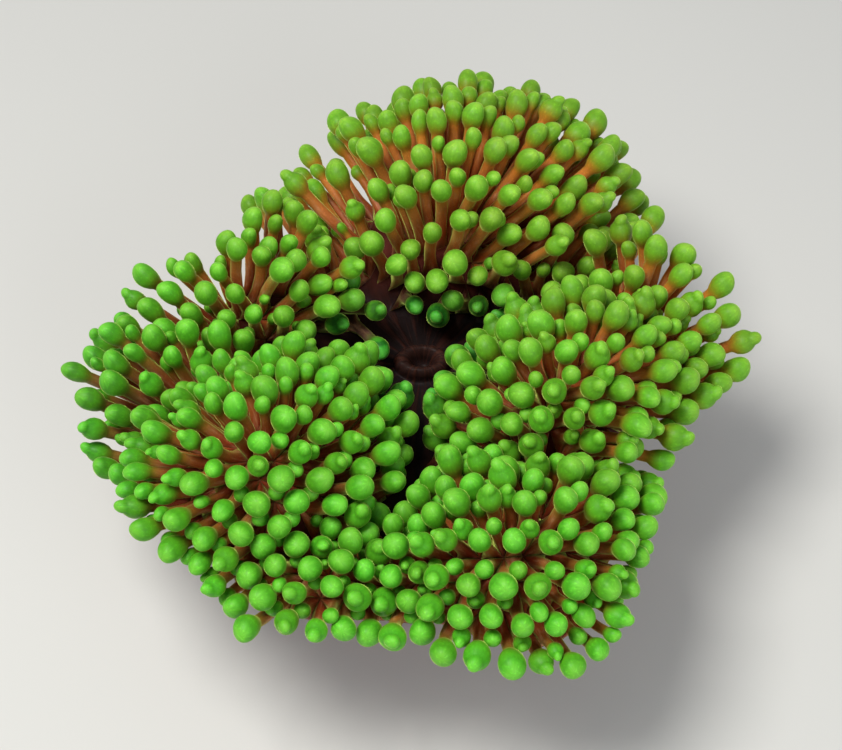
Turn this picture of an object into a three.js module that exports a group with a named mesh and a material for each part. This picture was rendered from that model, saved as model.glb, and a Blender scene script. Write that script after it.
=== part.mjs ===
// A bubble-tip sea anemone (Entacmaea quadricolor), life size, on a flat floor.
// Millimetres, +Z up. The origin is the middle of the foot's flat underside, and the animal faces -Y.
//
// The foot and the column are round. On them sits the disc, a thick plate thrown into folds. Its
// upper side is a net of triangles, and every second triangle is the root of a tentacle: a slim stalk
// and a bulb that ends in a blunt tip. The crown is parted along the valleys between its folds.

import * as THREE from 'three';

// Foot and column: heights and radii
const FOOT_RADIUS = 64;
const FOOT_HEIGHT = 9;
const COLUMN_TOP = 62;
const COLUMN_PROFILE = [[53, 0], [47, 0.22], [45, 0.5], [49, 0.78], [57, 1]]; // radius, share of the height
const ROUND_SIDES = 20;
const MOUTH_SIDES = 12;
const CREASES = 8; // the soft upright creases of the column
const CREASE_DEPTH = 0.035; // as a share of the radius
const CUT = 0.3; // the thin cut between two parts

// The disc: its net, its edge and its thickness
const NET_RINGS = 13;
const EDGE_RADIUS = 84;
const EDGE_LOBES = [ // direction in degrees, how far the edge stands out there, and how widely in degrees
  [178, 22, 20], [-148, 30, 22], [-114, 28, 18], [-64, 43, 24], [8, 28, 24], [66, 28, 28],
  [124, -8, 20], [-16, -9, 9],
];
const VALLEY_HEIGHT = 13; // the upper side of the disc above the column's top, between the folds
const CUP_DEPTH = 19; // how far the disc rises from its middle to its edge
const EDGE_THICKNESS = 9;
const LEAST_THICKNESS = 6;
const SMOOTHING = 18; // how far apart the disc's slope is read, for the tentacles' directions
const EDGE_DROOP = 23; // how far the edge hangs below the disc behind it
const NET_ROUNDS = 400; // rounds of evening out the net
const NET_STEP = 0.25;
const INSET = 0.7; // keeps each ring of the net inside the next, as a share of their even distance
const VALLEY_THINNING = 0.5; // how much further apart the net's places are in the valleys
const ROOT_SHARE = 0.6; // how much the roots' own distances count in that, next to the bulbs'
const NET_UNEVENNESS = 0.8;

// The folds: middle, half length, half width, turn of the long side in degrees, height, stalk length
const FOLDS = [
  { name: 'crown_back', x: 20, y: 86, long: 78, wide: 44, turn: 0, rise: 37, stalk: 36 },
  { name: 'crown_back_left', x: -72, y: 52, long: 52, wide: 38, turn: 36, rise: 25, stalk: 34 },
  { name: 'crown_left', x: -96, y: -6, long: 38, wide: 26, turn: 12, rise: 10, stalk: 36 },
  { name: 'crown_front_left', x: -61, y: -48, long: 70, wide: 42, turn: 38, rise: 38, stalk: 22 },
  { name: 'crown_front', x: -48, y: -100, long: 54, wide: 34, turn: -6, rise: 17, stalk: 24 },
  { name: 'crown_front_right', x: 46, y: -86, long: 68, wide: 48, turn: 20, rise: 27, stalk: 24 },
  { name: 'crown_right', x: 63, y: -14, long: 60, wide: 36, turn: 20, rise: 35, stalk: 22 },
  { name: 'crown_back_right', x: 102, y: 42, long: 50, wide: 40, turn: 62, rise: 21, stalk: 34 },
];

// The mouth and the bare disc round it
const MOUTH = { x: 3, y: 20, long: 12, wide: 8, rise: 5, pit: 3 };
const BARE_RADIUS = 20.5;

// The tentacles
const NECK_RADIUS = 2.9;
const BULB_RADIUS = 5.3;
const BULB_SPREAD = 0.12; // how much a bulb may be larger or smaller, as a share
const BULB_BELOW = 0.95; // neck to widest place, in bulb radii
const BULB_ABOVE = 1.55; // widest place to tip, in bulb radii
const STALK_SPREAD = 0.14;
const STALK_GIVE = 0.22; // how much a crowded stalk may shorten or stretch, as a share
const ROOT_RADIUS = 4;
const OUTWARD_LEAN = 0.75; // how far the tentacles of the edge lean outwards
const BACK_LEAN = 0.5; // behind the mouth, how far the upper tentacles lean away from it
const HANGING_LEAN = 0.9; // and how far the lowest ones lean over it
const HANGING = [8, 20]; // the distances behind the mouth over which the hanging ones set in
const PARTING = [26, 40]; // and those over which they give way to the upper ones
const VALLEY_DEPTH = 13; // below this height the tentacles of a valley stand up and are short
const VALLEY_LIFT = 1.2;
const BARE_VALLEY = 0.84; // the lowest places of a valley are bare
const VALLEY_SHORTENING = 0.35;
const NECK_SIDES = 3;
const BULB_SIDES = 4;
const CLEARANCE = 1.2;
const LEAST_GAP = 0.8; // a tentacle without this much room doesn't grow
const SPREAD_ROUNDS = 260;
const SPREAD_STEP = 0.6;
const FREE_STALK = 0.45; // the share of a stalk from which it has to stay clear of the disc
const LIFT_STEP = 0.3;
const HOLD = 0.01; // how strongly a tentacle keeps to its own direction
const NEAR_ROOTS = 75; // tentacles with roots further apart than this never meet

const TURN = 2 * Math.PI;
const radians = THREE.MathUtils.degToRad;
const clamp = THREE.MathUtils.clamp;

const FLESH = new THREE.MeshStandardMaterial({ color: 0x6e2f1c, roughness: 0.5, metalness: 0 });
const DISC = new THREE.MeshStandardMaterial({ color: 0x5a2a24, roughness: 0.5, metalness: 0 });
const GREEN = new THREE.MeshStandardMaterial({ color: 0x5abe28, roughness: 0.45, metalness: 0 });

// A number from 0 to 1 that looks random and is the same every time.
function chance(index, salt) {
  const value = Math.sin(index * 12.9898 + salt * 78.233) * 43758.5453;
  return value - Math.floor(value);
}

function spreadOf(index, salt, share) {
  return 1 + share * (2 * chance(index, salt) - 1);
}

// ---- The form of the disc ----

function edgeRadius(angle) {
  let radius = EDGE_RADIUS;
  for (const [direction, out, width] of EDGE_LOBES) {
    const away = Math.atan2(Math.sin(angle - radians(direction)), Math.cos(angle - radians(direction)));
    radius += out * Math.exp(-((away / radians(width)) ** 2));
  }
  return radius;
}

// How far a place is from a fold's middle: 1 on the fold's outline.
function foldDistance(fold, x, y) {
  const turn = radians(fold.turn);
  const along = (x - fold.x) * Math.cos(turn) + (y - fold.y) * Math.sin(turn);
  const across = (y - fold.y) * Math.cos(turn) - (x - fold.x) * Math.sin(turn);
  return Math.hypot(along / fold.long, across / fold.wide);
}

function edgeShare(x, y) {
  return Math.hypot(x, y) / edgeRadius(Math.atan2(y, x));
}

function discHeight(x, y) {
  let folds = 0;
  for (const fold of FOLDS) {
    const inside = Math.max(0, 1 - foldDistance(fold, x, y) ** 2);
    folds += (fold.rise * inside ** 1.6) ** 2;
  }
  const out = Math.min(1, edgeShare(x, y));
  return COLUMN_TOP + VALLEY_HEIGHT + CUP_DEPTH * out ** 2 + Math.sqrt(folds) - EDGE_DROOP * out ** 6;
}

// The underside is flat on the column and rises from there to the edge.
function undersideHeight(x, y) {
  const angle = Math.atan2(y, x);
  const edge = edgeRadius(angle);
  const edgeHeight = discHeight(edge * Math.cos(angle), edge * Math.sin(angle)) - EDGE_THICKNESS;
  const top = COLUMN_PROFILE[COLUMN_PROFILE.length - 1][0];
  const out = clamp((Math.hypot(x, y) - top) / (edge - top), 0, 1);
  const flared = COLUMN_TOP + Math.max(0, edgeHeight - COLUMN_TOP) * out ** 1.4;
  return Math.min(flared, discHeight(x, y) - LEAST_THICKNESS);
}

function discNormal(x, y) {
  const step = SMOOTHING;
  const slopeX = (discHeight(x + step, y) - discHeight(x - step, y)) / (2 * step);
  const slopeY = (discHeight(x, y + step) - discHeight(x, y - step)) / (2 * step);
  return new THREE.Vector3(-slopeX, -slopeY, 1).normalize();
}

// 1 on the floor of a valley and 0 on the folds and at the edge.
function valleyShare(x, y) {
  const height = discHeight(x, y) - COLUMN_TOP - VALLEY_HEIGHT - CUP_DEPTH * edgeShare(x, y) ** 2;
  return clamp(1 - height / VALLEY_DEPTH, 0, 1) * clamp(1 - edgeShare(x, y) ** 4, 0, 1);
}

// How far a tentacle leans away from the mouth. Behind the mouth the crown is parted: the lowest
// tentacles lean over it, and the upper ones lean back.
function leanFromMouth(behind) {
  const back = THREE.MathUtils.smoothstep(behind, ...PARTING);
  const hanging = THREE.MathUtils.smoothstep(behind, ...HANGING) * (1 - back);
  return BACK_LEAN * back - HANGING_LEAN * hanging;
}

// The way a tentacle grows: off the surface, outwards at the edge and upright in a valley.
function growthDirection(x, y) {
  const direction = discNormal(x, y);
  const out = (edgeShare(x, y) ** 4 * OUTWARD_LEAN) / Math.max(1, Math.hypot(x, y));
  const awayX = x - MOUTH.x;
  const awayY = y - MOUTH.y;
  const lean = leanFromMouth(awayY) / Math.max(1, Math.hypot(awayX, awayY));
  direction.x += out * x + lean * awayX;
  direction.y += out * y + lean * awayY;
  direction.z += VALLEY_LIFT * valleyShare(x, y);
  return direction.normalize();
}

function stalkLength(x, y) {
  let weights = 0;
  let length = 0;
  for (const fold of FOLDS) {
    const weight = 1 / (0.05 + foldDistance(fold, x, y) ** 4);
    weights += weight;
    length += weight * fold.stalk;
  }
  return (length / weights) * (1 - VALLEY_SHORTENING * valleyShare(x, y));
}

// ---- The net on the disc ----

const NET_STEPS = [[1, 0], [0, 1], [-1, 1], [-1, 0], [0, -1], [1, -1]];
const placeName = (q, r) => `${q},${r}`;

// A six-sided net drawn out to the disc's edge, then evened out on the folded surface.
function makeNet() {
  const places = [];
  const byName = new Map();
  for (let ring = 0; ring <= NET_RINGS; ring++) {
    for (let step = 0; step < Math.max(1, 6 * ring); step++) {
      const side = Math.floor(step / Math.max(1, ring));
      const along = step - side * ring;
      const [q1, r1] = NET_STEPS[side % 6];
      const [q2, r2] = NET_STEPS[(side + 1) % 6];
      const q = q1 * (ring - along) + q2 * along;
      const r = r1 * (ring - along) + r2 * along;
      const angle = (TURN * step) / Math.max(1, 6 * ring);
      const radius = (edgeRadius(angle) * ring) / NET_RINGS;
      byName.set(placeName(q, r), places.length);
      places.push({ q, r, ring, x: radius * Math.cos(angle), y: radius * Math.sin(angle) });
    }
  }
  for (const place of places) {
    const around = NET_STEPS.map(([q, r]) => byName.get(placeName(place.q + q, place.r + r)));
    place.neighbours = around.filter((index) => index !== undefined);
  }
  for (let round = 0; round < NET_ROUNDS; round++) evenOut(places);
  places.forEach((place, index) => {
    if (place.ring === NET_RINGS) return;
    place.x += NET_UNEVENNESS * (2 * chance(index, 1) - 1);
    place.y += NET_UNEVENNESS * (2 * chance(index, 2) - 1);
  });
  return { places, byName };
}

// Each place moves towards its neighbours, and more towards the ones that are far off, both on the
// disc and where their tentacles would end. Places on the edge only slide along it.
function evenOut(places) {
  const roots = places.map(({ x, y }) => new THREE.Vector3(x, y, discHeight(x, y)));
  const ends = places.map(({ x, y }, i) => {
    return roots[i].clone().addScaledVector(growthDirection(x, y), stalkLength(x, y));
  });
  const valleys = places.map(({ x, y }) => valleyShare(x, y));
  const moved = places.map((place, index) => {
    const atEdge = place.ring === NET_RINGS;
    let weights = 0;
    let x = 0;
    let y = 0;
    for (const other of place.neighbours) {
      if (atEdge && places[other].ring < NET_RINGS) continue;
      const between = ROOT_SHARE * roots[index].distanceTo(roots[other]);
      const crowd = 1 - VALLEY_THINNING * (valleys[index] + valleys[other]) / 2;
      const weight = (crowd * (between + ends[index].distanceTo(ends[other]))) ** 2;
      weights += weight;
      x += weight * places[other].x;
      y += weight * places[other].y;
    }
    x = THREE.MathUtils.lerp(place.x, x / weights, NET_STEP);
    y = THREE.MathUtils.lerp(place.y, y / weights, NET_STEP);
    const share = edgeShare(x, y);
    const most = 1 - (INSET * (NET_RINGS - place.ring)) / NET_RINGS;
    const kept = atEdge ? 1 / share : Math.min(1, most / Math.max(share, most));
    return [x * kept, y * kept];
  });
  moved.forEach(([x, y], index) => {
    places[index].x = x;
    places[index].y = y;
  });
}

// The net's triangles, each with its corners in turn as seen from above. Every upright one can
// carry a tentacle, because no two of them share a side.
function netTriangles({ places, byName }) {
  const triangles = [];
  const add = (upright, ...corners) => {
    const found = corners.map(([q, r]) => byName.get(placeName(q, r)));
    if (found.includes(undefined)) return;
    const x = found.reduce((sum, index) => sum + places[index].x, 0) / 3;
    const y = found.reduce((sum, index) => sum + places[index].y, 0) / 3;
    triangles.push({ corners: found, upright, x, y });
  };
  for (let q = -NET_RINGS; q <= NET_RINGS; q++) {
    for (let r = -NET_RINGS; r <= NET_RINGS; r++) {
      add(true, [q, r], [q + 1, r], [q, r + 1]);
      add(false, [q + 1, r], [q + 1, r + 1], [q, r + 1]);
    }
  }
  for (const triangle of triangles) triangle.part = partAt(triangle.x, triangle.y);
  linkNeighbours(triangles);
  for (let round = 0; round < 3; round++) triangles.forEach(joinMajority);
  return triangles;
}

function partAt(x, y) {
  if (Math.hypot(x - MOUTH.x, y - MOUTH.y) < BARE_RADIUS) return 'oral_disc';
  const distances = FOLDS.map((fold) => foldDistance(fold, x, y));
  return FOLDS[distances.indexOf(Math.min(...distances))].name;
}

const sideName = (a, b) => (a < b ? `${a}-${b}` : `${b}-${a}`);

function linkNeighbours(triangles) {
  const bySide = new Map();
  for (const triangle of triangles) {
    triangle.neighbours = [];
    const [a, b, c] = triangle.corners;
    for (const name of [sideName(a, b), sideName(b, c), sideName(c, a)]) {
      const other = bySide.get(name);
      if (other) {
        other.neighbours.push(triangle);
        triangle.neighbours.push(other);
      } else {
        bySide.set(name, triangle);
      }
    }
  }
}

// A triangle with two neighbours in another part joins that part, which keeps the cuts short.
function joinMajority(triangle) {
  const others = triangle.neighbours.map((other) => other.part);
  const twice = others.find((part, index) => part !== triangle.part && others.indexOf(part) !== index);
  if (twice) triangle.part = twice;
}

// ---- The tentacles ----

function makeTentacles(triangles) {
  const tentacles = [];
  triangles.forEach((triangle, index) => {
    const { x, y } = triangle;
    if (!triangle.upright || triangle.part === 'oral_disc' || valleyShare(x, y) > BARE_VALLEY) return;
    const root = new THREE.Vector3(x, y, discHeight(x, y));
    const direction = growthDirection(x, y);
    const bulb = BULB_RADIUS * spreadOf(index, 3, BULB_SPREAD);
    const length = stalkLength(x, y) * spreadOf(index, 4, STALK_SPREAD);
    const centre = root.clone().addScaledVector(direction, length);
    const tentacle = { root, direction, bulb, length, centre, balls: ballsAlong(bulb, length) };
    tentacles.push(tentacle);
    triangle.tentacle = tentacle;
  });
  return tentacles;
}

// Balls that fill a tentacle, each with its place as a share of the way from the root to the bulb.
function ballsAlong(bulb, length) {
  const stalk = [0.3, 0.43, 0.57, 0.71, 0.85].map((at) => {
    return { at, radius: THREE.MathUtils.lerp(ROOT_RADIUS, NECK_RADIUS, at) };
  });
  const tip = { at: 1 + (0.85 * bulb) / length, radius: 0.55 * bulb };
  return [...stalk, { at: 1, radius: bulb }, tip];
}

// Tentacles that touch push each other apart, until they all stand free.
function spreadApart(tentacles) {
  const pairs = [];
  tentacles.forEach((one, i) => {
    for (let j = i + 1; j < tentacles.length; j++) {
      if (one.root.distanceTo(tentacles[j].root) < NEAR_ROOTS) pairs.push([one, tentacles[j]]);
    }
  });
  for (let round = 0; round < SPREAD_ROUNDS; round++) {
    for (const tentacle of tentacles) {
      tentacle.push = new THREE.Vector3();
      tentacle.touches = 0;
      for (const ball of tentacle.balls) {
        ball.x = tentacle.root.x + (tentacle.centre.x - tentacle.root.x) * ball.at;
        ball.y = tentacle.root.y + (tentacle.centre.y - tentacle.root.y) * ball.at;
        ball.z = tentacle.root.z + (tentacle.centre.z - tentacle.root.z) * ball.at;
      }
    }
    for (const [one, other] of pairs) pushApart(one, other);
    for (const tentacle of tentacles) settle(tentacle);
  }
  for (const [one, other] of pairs) {
    if (!one.lost && !other.lost && leastGap(one, other) < LEAST_GAP) other.lost = true;
  }
}

function leastGap(one, other) {
  const gaps = one.balls.flatMap((a) => {
    return other.balls.map((b) => Math.hypot(a.x - b.x, a.y - b.y, a.z - b.z) - a.radius - b.radius);
  });
  return Math.min(...gaps);
}

function pushApart(one, other) {
  for (const a of one.balls) {
    for (const b of other.balls) {
      const x = a.x - b.x;
      const y = a.y - b.y;
      const z = a.z - b.z;
      const reach = a.radius + b.radius + CLEARANCE;
      const square = x * x + y * y + z * z;
      if (square >= reach * reach) continue;
      const distance = Math.sqrt(square);
      const share = (reach / distance - 1) / (a.at * a.at + b.at * b.at);
      one.push.x += share * a.at * x;
      one.push.y += share * a.at * y;
      one.push.z += share * a.at * z;
      other.push.x -= share * b.at * x;
      other.push.y -= share * b.at * y;
      other.push.z -= share * b.at * z;
      one.touches += 1;
      other.touches += 1;
    }
  }
}

// The bulb moves, but its stalk only gives a little, and both stay clear of the disc and the mouth.
function settle({ root, centre, direction, length, balls, push, touches }) {
  const own = root.clone().addScaledVector(direction, length).sub(centre);
  centre.addScaledVector(push, SPREAD_STEP / Math.max(1, touches) ** 0.5).addScaledVector(own, HOLD);
  for (const { x, y, z, at, radius } of balls) {
    if (at < FREE_STALK || edgeShare(x, y) > 1) continue;
    const overMouth = Math.hypot(x - MOUTH.x, y - MOUTH.y) < MOUTH.long + radius;
    const lowest = discHeight(x, y) + radius + CLEARANCE + (overMouth ? 2 * MOUTH.rise : 0);
    if (z < lowest) centre.z += (LIFT_STEP * (lowest - z)) / at;
  }
  const way = centre.clone().sub(root);
  const found = way.length();
  const kept = clamp(found, length * (1 - STALK_GIVE), length * (1 + STALK_GIVE));
  centre.copy(root).addScaledVector(way, kept / found);
}

// ---- Solids ----

// Collects points and faces into one closed surface.
class Shell {
  points = [];
  faces = [];

  point(vector) {
    this.points.push(vector);
    return this.points.length - 1;
  }

  face(...corners) {
    this.faces.push(...corners);
  }

  // Joins two rings of points, which may differ in number.
  band(lower, upper) {
    let i = 0;
    let j = 0;
    while (i < lower.length || j < upper.length) {
      const a = lower[i % lower.length];
      const b = upper[j % upper.length];
      if ((i + 0.5) / lower.length < (j + 0.5) / upper.length) {
        this.face(a, lower[(i + 1) % lower.length], b);
        i++;
      } else {
        this.face(a, upper[(j + 1) % upper.length], b);
        j++;
      }
    }
  }

  fan(ring, tip) {
    ring.forEach((corner, i) => this.face(corner, ring[(i + 1) % ring.length], tip));
  }

  geometry() {
    const geometry = new THREE.BufferGeometry().setFromPoints(this.points);
    geometry.setIndex(this.faces);
    geometry.computeVertexNormals();
    return geometry;
  }
}

// A ring of points round an axis. Its first point lies towards start.
function ringAround(centre, axis, start, radius, sides) {
  const first = start.clone().addScaledVector(axis, -start.dot(axis)).normalize();
  const second = axis.clone().cross(first);
  return Array.from({ length: sides }, (_, i) => {
    const angle = (TURN * i) / sides;
    return centre
      .clone()
      .addScaledVector(first, radius * Math.cos(angle))
      .addScaledVector(second, radius * Math.sin(angle));
  });
}

// Grows a tentacle on a shell from its root's three corners.
function growTentacle(shell, corners, { root, centre, bulb }) {
  const length = root.distanceTo(centre);
  const axis = centre.clone().sub(root).divideScalar(length);
  const start = shell.points[corners[0]].clone().sub(root);
  const at = (distance) => root.clone().addScaledVector(axis, distance);
  const addRing = (distance, radius, sides) => {
    const ring = ringAround(at(distance), axis, start, radius, sides);
    return ring.map((point) => shell.point(point));
  };
  const neck = addRing(length - BULB_BELOW * bulb, NECK_RADIUS * 1.15, NECK_SIDES);
  const widest = addRing(length - 0.1 * bulb, bulb * 1.1, BULB_SIDES);
  shell.band(corners, neck);
  shell.band(neck, widest);
  shell.fan(widest, shell.point(at(length + BULB_ABOVE * bulb)));
}

// One part of the crown: its piece of the disc, with the tentacles that grow there.
function crownPart(triangles, places) {
  const shell = new Shell();
  const own = new Set(triangles);
  const upper = new Map();
  const lower = new Map();
  const cornerKey = (triangle, corner) => `${triangles.indexOf(triangle)}/${corner}`;
  const cornersOf = new Map();
  for (const triangle of triangles) {
    for (const corner of triangle.corners) {
      if (!cornersOf.has(corner)) cornersOf.set(corner, []);
      cornersOf.get(corner).push(triangle);
    }
  }
  for (const [corner, around] of cornersOf) {
    for (const fan of fansAround(corner, around, own)) {
      const { x, y } = drawnIn(corner, fan, places, own);
      const top = shell.point(new THREE.Vector3(x, y, discHeight(places[corner].x, places[corner].y)));
      const bottom = shell.point(
        new THREE.Vector3(x, y, undersideHeight(places[corner].x, places[corner].y)),
      );
      for (const triangle of fan) {
        upper.set(cornerKey(triangle, corner), top);
        lower.set(cornerKey(triangle, corner), bottom);
      }
    }
  }
  for (const triangle of triangles) {
    const top = triangle.corners.map((corner) => upper.get(cornerKey(triangle, corner)));
    const bottom = triangle.corners.map((corner) => lower.get(cornerKey(triangle, corner)));
    if (triangle.tentacle) growTentacle(shell, top, triangle.tentacle);
    else shell.face(...top);
    shell.face(...bottom.slice().reverse());
    triangle.corners.forEach((corner, i) => {
      const next = (i + 1) % 3;
      if (hasNeighbour(triangle, corner, triangle.corners[next], own)) return;
      shell.face(top[i], bottom[i], bottom[next]);
      shell.face(top[i], bottom[next], top[next]);
    });
  }
  return shell.geometry();
}

function hasNeighbour(triangle, a, b, own) {
  return triangle.neighbours.some((other) => {
    return own.has(other) && other.corners.includes(a) && other.corners.includes(b);
  });
}

// The triangles round a corner, in groups that hang together by their sides.
function fansAround(corner, around, own) {
  const left = new Set(around);
  const fans = [];
  while (left.size) {
    const fan = [left.values().next().value];
    left.delete(fan[0]);
    for (const triangle of fan) {
      for (const other of triangle.neighbours) {
        if (own.has(other) && left.has(other) && other.corners.includes(corner)) {
          left.delete(other);
          fan.push(other);
        }
      }
    }
    fans.push(fan);
  }
  return fans;
}

// A corner on a part's outline is drawn in, so that each side there moves in by half the cut.
function drawnIn(corner, fan, places, own) {
  const place = places[corner];
  let x = 0;
  let y = 0;
  for (const triangle of fan) {
    triangle.corners.forEach((from, i) => {
      const to = triangle.corners[(i + 1) % 3];
      if ((from !== corner && to !== corner) || hasNeighbour(triangle, from, to, own)) return;
      const sideX = places[to].x - places[from].x;
      const sideY = places[to].y - places[from].y;
      const side = Math.hypot(sideX, sideY);
      x -= sideY / side;
      y += sideX / side;
    });
  }
  const scale = CUT / Math.max(x * x + y * y, 0.4);
  return { x: place.x + x * scale, y: place.y + y * scale };
}

// A closed solid from level rings of points, the lowest first.
function stack(rings) {
  const shell = new Shell();
  const indices = rings.map((ring) => ring.map((point) => shell.point(point)));
  const middle = (ring) => {
    const sum = ring.reduce((total, point) => total.add(point), new THREE.Vector3());
    return shell.point(sum.divideScalar(ring.length));
  };
  for (let i = 1; i < indices.length; i++) shell.band(indices[i - 1], indices[i]);
  shell.fan(indices[0].slice().reverse(), middle(rings[0]));
  shell.fan(indices[indices.length - 1], middle(rings[rings.length - 1]));
  return shell.geometry();
}

function columnRing(radius, height, crease) {
  return Array.from({ length: ROUND_SIDES }, (_, i) => {
    const angle = (TURN * i) / ROUND_SIDES;
    const r = radius * (1 + crease * Math.cos(CREASES * angle));
    return new THREE.Vector3(r * Math.cos(angle), r * Math.sin(angle), height);
  });
}

function footGeometry() {
  return stack([
    columnRing(FOOT_RADIUS - 2, 0, 0),
    columnRing(FOOT_RADIUS, 2, 0),
    columnRing(FOOT_RADIUS - 2, 5, CREASE_DEPTH / 2),
    columnRing(COLUMN_PROFILE[0][0], FOOT_HEIGHT, CREASE_DEPTH),
  ]);
}

function columnGeometry() {
  const bottom = FOOT_HEIGHT + CUT;
  const height = COLUMN_TOP - CUT - bottom;
  return stack(
    COLUMN_PROFILE.map(([radius, share]) => {
      return columnRing(radius, bottom + share * height, CREASE_DEPTH * (1 - share));
    }),
  );
}

// The lips: an oval ring round a shallow pit.
function mouthGeometry() {
  const floor = discHeight(MOUTH.x, MOUTH.y) + 1.5;
  const oval = (share, height) => {
    return Array.from({ length: MOUTH_SIDES }, (_, i) => {
      const angle = (TURN * i) / MOUTH_SIDES;
      return new THREE.Vector3(
        MOUTH.x + MOUTH.long * share * Math.cos(angle),
        MOUTH.y + MOUTH.wide * share * Math.sin(angle),
        floor + height,
      );
    });
  };
  return stack([
    oval(1, 0),
    oval(0.95, MOUTH.rise * 0.7),
    oval(0.72, MOUTH.rise),
    oval(0.4, MOUTH.rise * 0.8),
    oval(0.22, MOUTH.rise - MOUTH.pit),
  ]);
}

// ---- The animal ----

const anemone = new THREE.Group();

function addPart(name, geometry, material) {
  const mesh = new THREE.Mesh(geometry, material.clone());
  mesh.name = name;
  anemone.add(mesh);
}

const net = makeNet();
const triangles = netTriangles(net);
spreadApart(makeTentacles(triangles));
for (const triangle of triangles) if (triangle.tentacle?.lost) triangle.tentacle = undefined;

addPart('foot', footGeometry(), FLESH);
addPart('column', columnGeometry(), FLESH);
addPart('mouth', mouthGeometry(), DISC);
for (const part of ['oral_disc', ...FOLDS.map((fold) => fold.name)]) {
  const own = triangles.filter((triangle) => triangle.part === part);
  addPart(part, crownPart(own, net.places), part === 'oral_disc' ? DISC : GREEN);
}

export default anemone;
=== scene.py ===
# A bubble-tip sea anemone (Entacmaea quadricolor) as a life-size model, in its finish.
#
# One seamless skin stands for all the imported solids. Its sizes are in millimetres. The solids say
# where each tentacle grows, how it leans and how large its bulb is, and the folds of the disc come
# from the formula that shaped the solids.

import math

import bpy
import numpy as np
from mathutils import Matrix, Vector, kdtree


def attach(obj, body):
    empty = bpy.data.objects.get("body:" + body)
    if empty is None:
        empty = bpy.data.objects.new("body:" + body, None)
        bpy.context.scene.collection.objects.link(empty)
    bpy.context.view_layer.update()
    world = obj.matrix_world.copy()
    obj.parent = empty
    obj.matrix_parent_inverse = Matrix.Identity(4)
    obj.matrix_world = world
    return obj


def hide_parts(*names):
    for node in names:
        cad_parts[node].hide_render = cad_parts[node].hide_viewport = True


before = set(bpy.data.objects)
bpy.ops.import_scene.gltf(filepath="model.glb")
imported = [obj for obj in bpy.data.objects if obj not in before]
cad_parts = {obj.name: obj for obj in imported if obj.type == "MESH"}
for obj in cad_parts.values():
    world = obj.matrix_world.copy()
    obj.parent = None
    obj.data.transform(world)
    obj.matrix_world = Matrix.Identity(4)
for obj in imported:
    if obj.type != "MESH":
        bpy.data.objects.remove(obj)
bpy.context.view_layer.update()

MM = 0.001
TURN = 2 * math.pi

# ---- Sizes that the skin shares with the solids ----

FOOT_HEIGHT = 9
COLUMN_TOP = 62
CREASES = 8
CREASE_DEPTH = 0.035
# Height and radius of the foot and the column, from the floor to the disc
COLUMN_OUTLINE = [
    (0, 61.5), (0.7, 63.2), (2, 64), (3.6, 63.6), (5, 62), (7, 57.5), (9, 53.5), (13, 50.4),
    (20, 47.2), (28, 45.4), (36, 45), (43, 46), (50, 49), (56, 52.6), (62, 57),
]

EDGE_RADIUS = 84
EDGE_LOBES = [
    (178, 22, 20), (-148, 30, 22), (-114, 28, 18), (-64, 43, 24), (8, 28, 24), (66, 28, 28),
    (124, -8, 20), (-16, -9, 9),
]
VALLEY_HEIGHT = 13
CUP_DEPTH = 19
EDGE_DROOP = 23
EDGE_THICKNESS = 9
LEAST_THICKNESS = 6
VALLEY_DEPTH = 13
FOLD_STEEPNESS = 1.6
DROOP_POWER = 6  # the droop lies close to the edge
UNDERSIDE_POWER = 1.4
# The folds: middle, half length, half width, turn of the long side in degrees, height
FOLDS = [
    (20, 86, 78, 44, 0, 37), (-72, 52, 52, 38, 36, 25), (-96, -6, 38, 26, 12, 10),
    (-61, -48, 70, 42, 38, 38), (-48, -100, 54, 34, -6, 17), (46, -86, 68, 48, 20, 27),
    (63, -14, 60, 36, 20, 35), (102, 42, 50, 40, 62, 21),
]
MOUTH_X, MOUTH_Y, MOUTH_LONG, MOUTH_WIDE = 3, 20, 12, 8
TIP_HEIGHT = 1.55  # a bulb's widest place to its tip, in bulb radii
SOLID_RING = 0.1  # the solids' widest ring lies this far below a bulb's middle
# Points round a bulb, a neck and a root in the solids
SOLID_SIDES = (4, 3, 3)

# ---- Sizes of the skin's own detail ----

SIDE_STEPS = 4  # each side of the disc's net in steps
AROUND = 3 * SIDE_STEPS  # points round a tentacle
NECK = 2.55  # radius of a stalk below its bulb
LEAST_NECK = 0.35  # the share of it that is left as a bulb shrinks to nothing
FULL_NECK_BULB = 5.3  # radius of the smallest bulb with a neck of full size
LEAST_BELOW = 0.95  # below its middle a bulb is no slimmer than this share of its neck
NECK_BELOW = 1.12  # neck to the bulb's middle, in bulb radii
FLARE = 2.4  # the height over which a stalk narrows from its root
ROUNDING = 6.0  # the height over which a root's three sides become round
FLARE_HEIGHTS = (0.9, 2.2, 4.4)  # of the rings there
STALK_STEPS = 3
BULB_FIT = 0.93  # the round bulb's radius, as a share of the faceted one's
LEFT_FIT = 0.09  # how much smaller it is at the far left
FAR_LEFT, LEFT_FADE = -50, 50  # where that begins, and the width over which it grows
SLIMMEST = 0.16  # how much slimmer a plain bulb may be, as a share
FRONT_SLIMNESS = 0.3  # the share of it that is left in front
STRETCH = 0.6  # how much longer a slim bulb is, as a share of how much slimmer it is
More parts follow.
